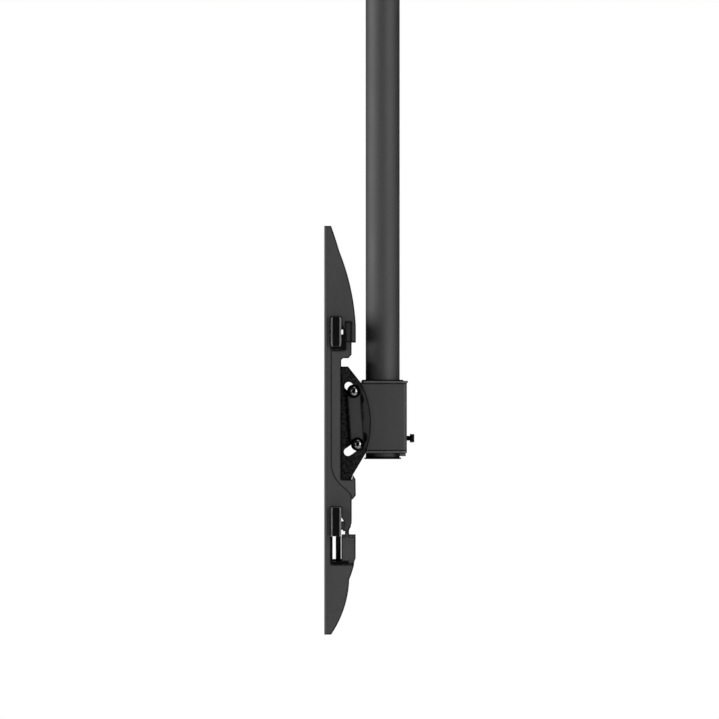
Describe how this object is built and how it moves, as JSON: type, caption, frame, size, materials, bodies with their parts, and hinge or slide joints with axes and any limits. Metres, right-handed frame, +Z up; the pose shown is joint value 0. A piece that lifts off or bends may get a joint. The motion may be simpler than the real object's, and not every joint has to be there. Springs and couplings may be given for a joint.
{
  "type": "tv ceiling mount",
  "caption": "Ceiling mount for a flat screen: pole with a swivelling clamp, arc-slotted tilt bracket, two rails and hooked screen arms with anti-lift latches.",
  "frame": {"origin": "middle of the ceiling plate's upper face, on the pole's axis", "axes": "+Z up to the ceiling, -Y towards the screen, +X along the rails"},
  "size_m": [0.4528, 0.16, 0.8634],
  "materials": {
    "grey_powder_coat": "satin powder coat",
    "dark_powder_coat": "satin powder coat",
    "black_screw_steel": "black oxide",
    "bright_steel": "zinc plated",
    "black_plastic": "moulded"
  },
  "bodies": {
    "ceiling": {"ceiling_plate": "grey_powder_coat", "pole_socket": "grey_powder_coat", "socket_bolts": "black_screw_steel", "socket_nuts": "black_screw_steel", "pole": "grey_powder_coat", "pole_end_cap": "black_plastic"},
    "swivel_head": {"pole_clamp": "grey_powder_coat", "clamp_lid": "black_plastic", "clamp_floor": "black_plastic", "upper_bush": "black_plastic", "lower_bush": "black_plastic", "swivel_lock_screw": "black_screw_steel", "swivel_lock_nut": "bright_steel", "upper_tilt_bolt": "black_screw_steel", "lower_tilt_bolt": "black_screw_steel", "tilt_nuts": "black_screw_steel", "tilt_washers": "black_screw_steel", "friction_washers": "black_plastic", "tilt_spacers": "bright_steel", "link_plate_right": "grey_powder_coat", "link_plate_left": "grey_powder_coat"},
    "tilt_head": {"tilt_bracket": "dark_powder_coat", "bracket_screws": "black_screw_steel", "spine": "grey_powder_coat", "rail_saddles": "black_plastic", "upper_rail": "grey_powder_coat", "lower_rail": "grey_powder_coat", "upper_rail_cap_right": "black_plastic", "upper_rail_cap_left": "black_plastic", "lower_rail_cap_right": "black_plastic", "lower_rail_cap_left": "black_plastic"},
    "right_arm": {"arm_right": "grey_powder_coat", "nut_plate_right": "grey_powder_coat", "plate_nut_right": "bright_steel"},
    "left_arm": {"arm_left": "grey_powder_coat", "nut_plate_left": "grey_powder_coat", "plate_nut_left": "bright_steel"},
    "right_latch": {"latch_right": "grey_powder_coat", "latch_foot_right": "black_plastic", "jack_screw_right": "bright_steel", "jam_nut_right": "bright_steel"},
    "left_latch": {"latch_left": "grey_powder_coat", "latch_foot_left": "black_plastic", "jack_screw_left": "bright_steel", "jam_nut_left": "bright_steel"}
  },
  "joints": [
    {"name": "swivel", "type": "hinge", "parent": "ceiling", "child": "swivel_head", "pos_m": [0, 0, -0.62], "axis": [0, 0, 1], "continuous": true},
    {"name": "tilt", "type": "hinge", "parent": "swivel_head", "child": "tilt_head", "pos_m": [0, -0.0638, -0.62], "axis": [1, 0, 0], "range_deg": [-10, 15]},
    {"name": "right_arm_slide", "type": "slide", "parent": "tilt_head", "child": "right_arm", "axis": [1, 0, 0], "range_m": [-0.1, 0.008]},
    {"name": "left_arm_slide", "type": "slide", "parent": "tilt_head", "child": "left_arm", "axis": [-1, 0, 0], "range_m": [-0.1, 0.008]},
    {"name": "right_latch_slide", "type": "slide", "parent": "right_arm", "child": "right_latch", "axis": [0, 0, 1], "range_m": [-0.028, 0]},
    {"name": "left_latch_slide", "type": "slide", "parent": "left_arm", "child": "left_latch", "axis": [0, 0, 1], "range_m": [-0.028, 0]}
  ]
}
